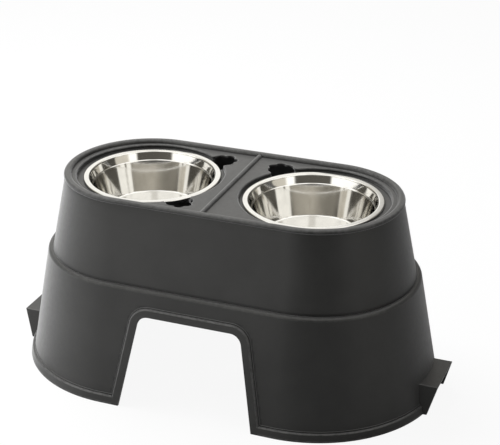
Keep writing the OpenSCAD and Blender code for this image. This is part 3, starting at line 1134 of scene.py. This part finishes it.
@dataclass(frozen=True)
class PolishedSteel:
    """Polished stainless steel with faint rings from spinning and a little smear."""

    name: str
    axis_x: float
    colour: Colour = (0.78, 0.77, 0.745)
    dulling: float = 0.94
    roughness: float = 0.055
    ring_scale: float = 900
    wave_scale: float = 120
    smear_scale: float = 45

    def material(self) -> Material:
        """Builds the node material."""
        mat = bpy.data.materials.new(self.name)
        graph = Graph(mat)
        place = graph.add("TexCoord").outputs["Object"]
        x, y, z = graph.add("SeparateXYZ", Vector=place).outputs
        across = graph.math("SUBTRACT", graph.math("ABSOLUTE", x), self.axis_x)
        squares = graph.math("ADD", graph.times(across, across), graph.times(y, y))
        radius = graph.math("SQRT", squares)
        spun = graph.add("CombineXYZ", X=radius, Y=z).outputs["Vector"]
        rings = graph.noise(spun, self.ring_scale, 4)
        waves = graph.noise(spun, self.wave_scale, 2)
        smear = graph.noise(place, self.smear_scale, 4)
        dull = tuple(self.dulling * c for c in self.colour)
        rough = graph.between(smear, (0.3, 0.7), self.roughness - 0.02, self.roughness + 0.03)
        graph.fill(
            graph.tree.nodes["Principled BSDF"],
            Base_Color=graph.blend(graph.between(smear, (0.35, 0.65)), dull, self.colour),
            Metallic=1,
            Roughness=graph.math("ADD", rough, graph.times(rings, 0.03)),
            Normal=graph.bump(waves, 0.1, 0.15 * MM, Normal=graph.bump(rings, 0.1, 0.02 * MM)),
        )
        return mat


@dataclass(frozen=True)
class Lamp:
    """A soft rectangular lamp that faces the object.

    Turn and rise are its direction in degrees, to the right of the camera and up, reach is its
    distance, size its width and height, and power is in watts.
    """

    name: str
    turn: float
    rise: float
    reach: float
    size: Point
    power: float


@dataclass(frozen=True)
class Studio:
    """Floor, world, lamps and camera.

    Each wall is a row of directions, in degrees to the right of the camera, with the grey that
    metal sees there. Heights in the sky are the Z of a unit direction.
    """

    azimuth: float = 21.464
    elevation: float = 24.596
    distance: float = 2323.35 * MM
    lens: float = 110.53
    sensor: float = 36
    clip_end: float = 50
    aim_side: float = 27.757 * MM
    aim_height: float = 236.587 * MM
    lamps: tuple[Lamp, ...] = (
        Lamp("top", -135, 58, 2.2, (1.6, 1.2), 66),
        Lamp("left", -88, 22, 1.5, (0.8, 1.2), 5),
    )
    lamp_aim: float = 0.2
    fill: float = 0.26
    high_walls: tuple[Point, ...] = (
        (-180, 0.6), (-135, 0.55), (-108, 0.5), (-94, 0.4), (-90, 1.6), (-76, 1.6),
        (-73, 0.3), (-68, 0.3), (-65, 1.7), (-50, 1.6), (-45, 0.7), (-33, 0.5), (-30, 0.2),
        (28, 0.18), (32, 0.7), (44, 0.8), (47, 1.5), (58, 1.5), (60, 0.35), (63, 0.35),
        (65, 1.5), (74, 1.4), (78, 0.45), (92, 0.38), (120, 0.3), (150, 0.38), (180, 0.6),
    )
    low_walls: tuple[Point, ...] = (
        (-180, 1.2), (-162, 1.2), (-156, 0.08), (-95, 0.06), (-88, 1.4), (-36, 1.5),
        (-32, 0.12), (30, 0.1), (34, 1.5), (46, 1.4), (50, 0.75), (74, 0.7), (77, 0.08),
        (156, 0.08), (172, 0.15), (177, 1.2), (180, 1.2),
    )
    low_to_high: Point = (0.44, 0.5)
    high_to_ceiling: Point = (0.64, 0.7)
    ceiling_middle: Colour = (1.05, 1.03, 0.98)
    ceiling_sides: Colour = (1.4, 1.39, 1.35)
    ceiling_edge: Point = (0.05, 0.15)
    floor_size: float = 30
    floor_grey: Colour = (0.85, 0.85, 0.85)
    sheet_share: float = 0.92
    sheet_fade: Point = (-0.55, 0.1)
    shade_end: Point = (0.29, 0.33)
    shade_side: Point = (0.15, 0.19)

    @staticmethod
    def _put(data: bpy.types.ID, aim: Vector, turn: float, rise: float, reach: float) -> Piece:
        """Puts a camera or a lamp into the scene, some way off from what it looks at."""
        a, e = radians(turn), radians(rise)
        away = Vector((sin(a) * cos(e), -cos(a) * cos(e), sin(e)))
        obj = linked(data.name, data)
        obj.location = aim + away * reach
        obj.rotation_euler = away.to_track_quat("Z", "Y").to_euler()
        return obj

    def camera(self) -> None:
        """Places the camera where the photograph was taken from."""
        data = bpy.data.cameras.new("camera")
        data.lens = self.lens
        data.sensor_width = self.sensor
        data.sensor_fit = "HORIZONTAL"
        data.clip_end = self.clip_end
        a = radians(self.azimuth)
        aim = Vector((cos(a) * self.aim_side, sin(a) * self.aim_side, self.aim_height))
        bpy.context.scene.camera = self._put(data, aim, self.azimuth, self.elevation, self.distance)

    def lights(self) -> None:
        """Sets the lamps round the object."""
        for lamp in self.lamps:
            data = bpy.data.lights.new(lamp.name, "AREA")
            data.shape = "RECTANGLE"
            data.size, data.size_y = lamp.size
            data.energy = lamp.power
            aim = Vector((0, 0, self.lamp_aim))
            obj = self._put(data, aim, self.azimuth + lamp.turn, lamp.rise, lamp.reach)
            obj.visible_glossy = False

    @staticmethod
    def _tones(stops: Iterable[Point]) -> list[tuple[float, Colour]]:
        """Turns directions in degrees and greys into ramp stops, the darker ones a little warm."""
        light, dark = (1.01, 1.0, 0.96), (1.06, 1.0, 0.87)
        return [
            ((turn + 180) / 360, tuple(grey * c for c in (light if grey >= 0.9 else dark)))
            for turn, grey in stops
        ]

    def _sky(self, graph: Graph) -> Socket:
        """Soft boxes, grey walls and dark gaps round the object, as polished metal shows them."""
        way = graph.add("TexCoord").outputs["Generated"]
        turned = graph.add("VectorRotate", Vector=way, Angle=-radians(self.azimuth))
        turned.rotation_type = "Z_AXIS"
        x, y, height = graph.add("SeparateXYZ", Vector=turned.outputs["Vector"]).outputs
        angle = graph.math("ARCTAN2", x, graph.times(y, -1.0))
        share = graph.math("ADD", graph.math("DIVIDE", angle, 2 * pi), 0.5)
        high = graph.ramp(share, self._tones(self.high_walls))
        low = graph.ramp(share, self._tones(self.low_walls))
        walls = graph.blend(graph.between(height, self.low_to_high), low, high)
        beside = graph.between(graph.math("ABSOLUTE", x), self.ceiling_edge)
        ceiling = graph.blend(beside, self.ceiling_middle, self.ceiling_sides)
        return graph.blend(graph.between(height, self.high_to_ceiling), walls, ceiling)

    def _sheet(self, graph: Graph) -> tuple[Socket, Socket]:
        """White of the floor's sheet: for the camera all over; for metal and glass a painted
        reflection, dimmer to the right, with a painted shadow under the stand.

        Returns:
            Share of the rays that see the sheet instead of matt white, and how white it is there.
        """
        ray = graph.add("LightPath").outputs
        seen = ray["Is Camera Ray"]
        shiny = graph.math("MAXIMUM", ray["Is Glossy Ray"], ray["Is Transmission Ray"])
        x, y, _ = graph.add("SeparateXYZ", Vector=graph.add("TexCoord").outputs["Object"]).outputs
        # Painted light: the sheet that metal sees is brighter at the left and dimmer to the right.
        lit = graph.between(x, self.sheet_fade, 0.8, 0.18)
        along = graph.between(graph.math("ABSOLUTE", x), self.shade_end)
        across = graph.between(graph.math("ABSOLUTE", y), self.shade_side)
        # Painted shadow under the stand, in the sheet that metal sees.
        level = graph.times(lit, graph.math("MAXIMUM", along, across))
        return graph.math("MAXIMUM", seen, shiny), graph.math("MAXIMUM", seen, level)

    def world(self) -> None:
        """Makes the world: plain light, and the studio's walls where metal looks."""
        world = bpy.data.worlds.new("studio")
        bpy.context.scene.world = world
        graph = Graph(world)
        graph.tree.nodes.clear()
        fill, walls, plain = (
            graph.add("Background", Color=colour, Strength=strength).outputs[0]
            for colour, strength in ((WHITE, self.fill), (self._sky(graph), 1.0), (WHITE, 1.0))
        )
        ray = graph.add("LightPath").outputs
        lit = graph.layers(ray["Is Glossy Ray"], fill, walls)
        graph.add("OutputWorld", Surface=graph.layers(ray["Is Camera Ray"], lit, plain))

    def floor(self) -> None:
        """Makes the floor: white where it is seen, with the object's soft shadow."""
        bpy.ops.mesh.primitive_plane_add(size=self.floor_size)
        floor = bpy.context.object
        floor.name = "floor"
        mat = bpy.data.materials.new("floor")
        graph = Graph(mat)
        graph.tree.nodes.clear()
        seen, level = self._sheet(graph)
        matt = graph.add("BsdfDiffuse", Color=self.floor_grey).outputs[0]
        white = graph.add("Emission", Color=WHITE, Strength=level).outputs[0]
        mixed = graph.layers(graph.times(seen, self.sheet_share), matt, white)
        graph.add("OutputMaterial", Surface=mixed)
        floor.data.materials.append(mat)

    def build(self) -> None:
        """Builds the whole studio."""
        self.camera()
        self.lights()
        self.world()
        self.floor()
        bpy.context.scene.view_settings.view_transform = "Standard"


def main() -> None:
    """Builds the feeder and its studio, and reports each piece."""
    logging.basicConfig(level=logging.INFO, format="%(name)s: %(message)s")
    sizes = StandSizes()
    shop = Workshop()
    # Height of the painted shade line on the upper shell.
    seam = sizes.belt_h + MM
    upper = MouldedPlastic("charcoal upper shell", (0.023, 0.023, 0.022), seam=seam).material()
    lower = MouldedPlastic("charcoal lower shell", (0.021, 0.021, 0.02)).material()
    steel = PolishedSteel("polished steel", sizes.bowl_x).material()
    parts: tuple[Part, ...] = (
        TopTray(sizes, shop, upper),
        BaseSkirt(sizes, shop, lower),
        SteelBowl(sizes, shop, steel, -1),
        SteelBowl(sizes, shop, steel, 1),
    )
    for part in parts:
        piece = part.build()
        LOG.info("%s: %d faces", piece.name, len(piece.data.polygons))
    Studio().build()


if __name__ == "__main__":
    main()
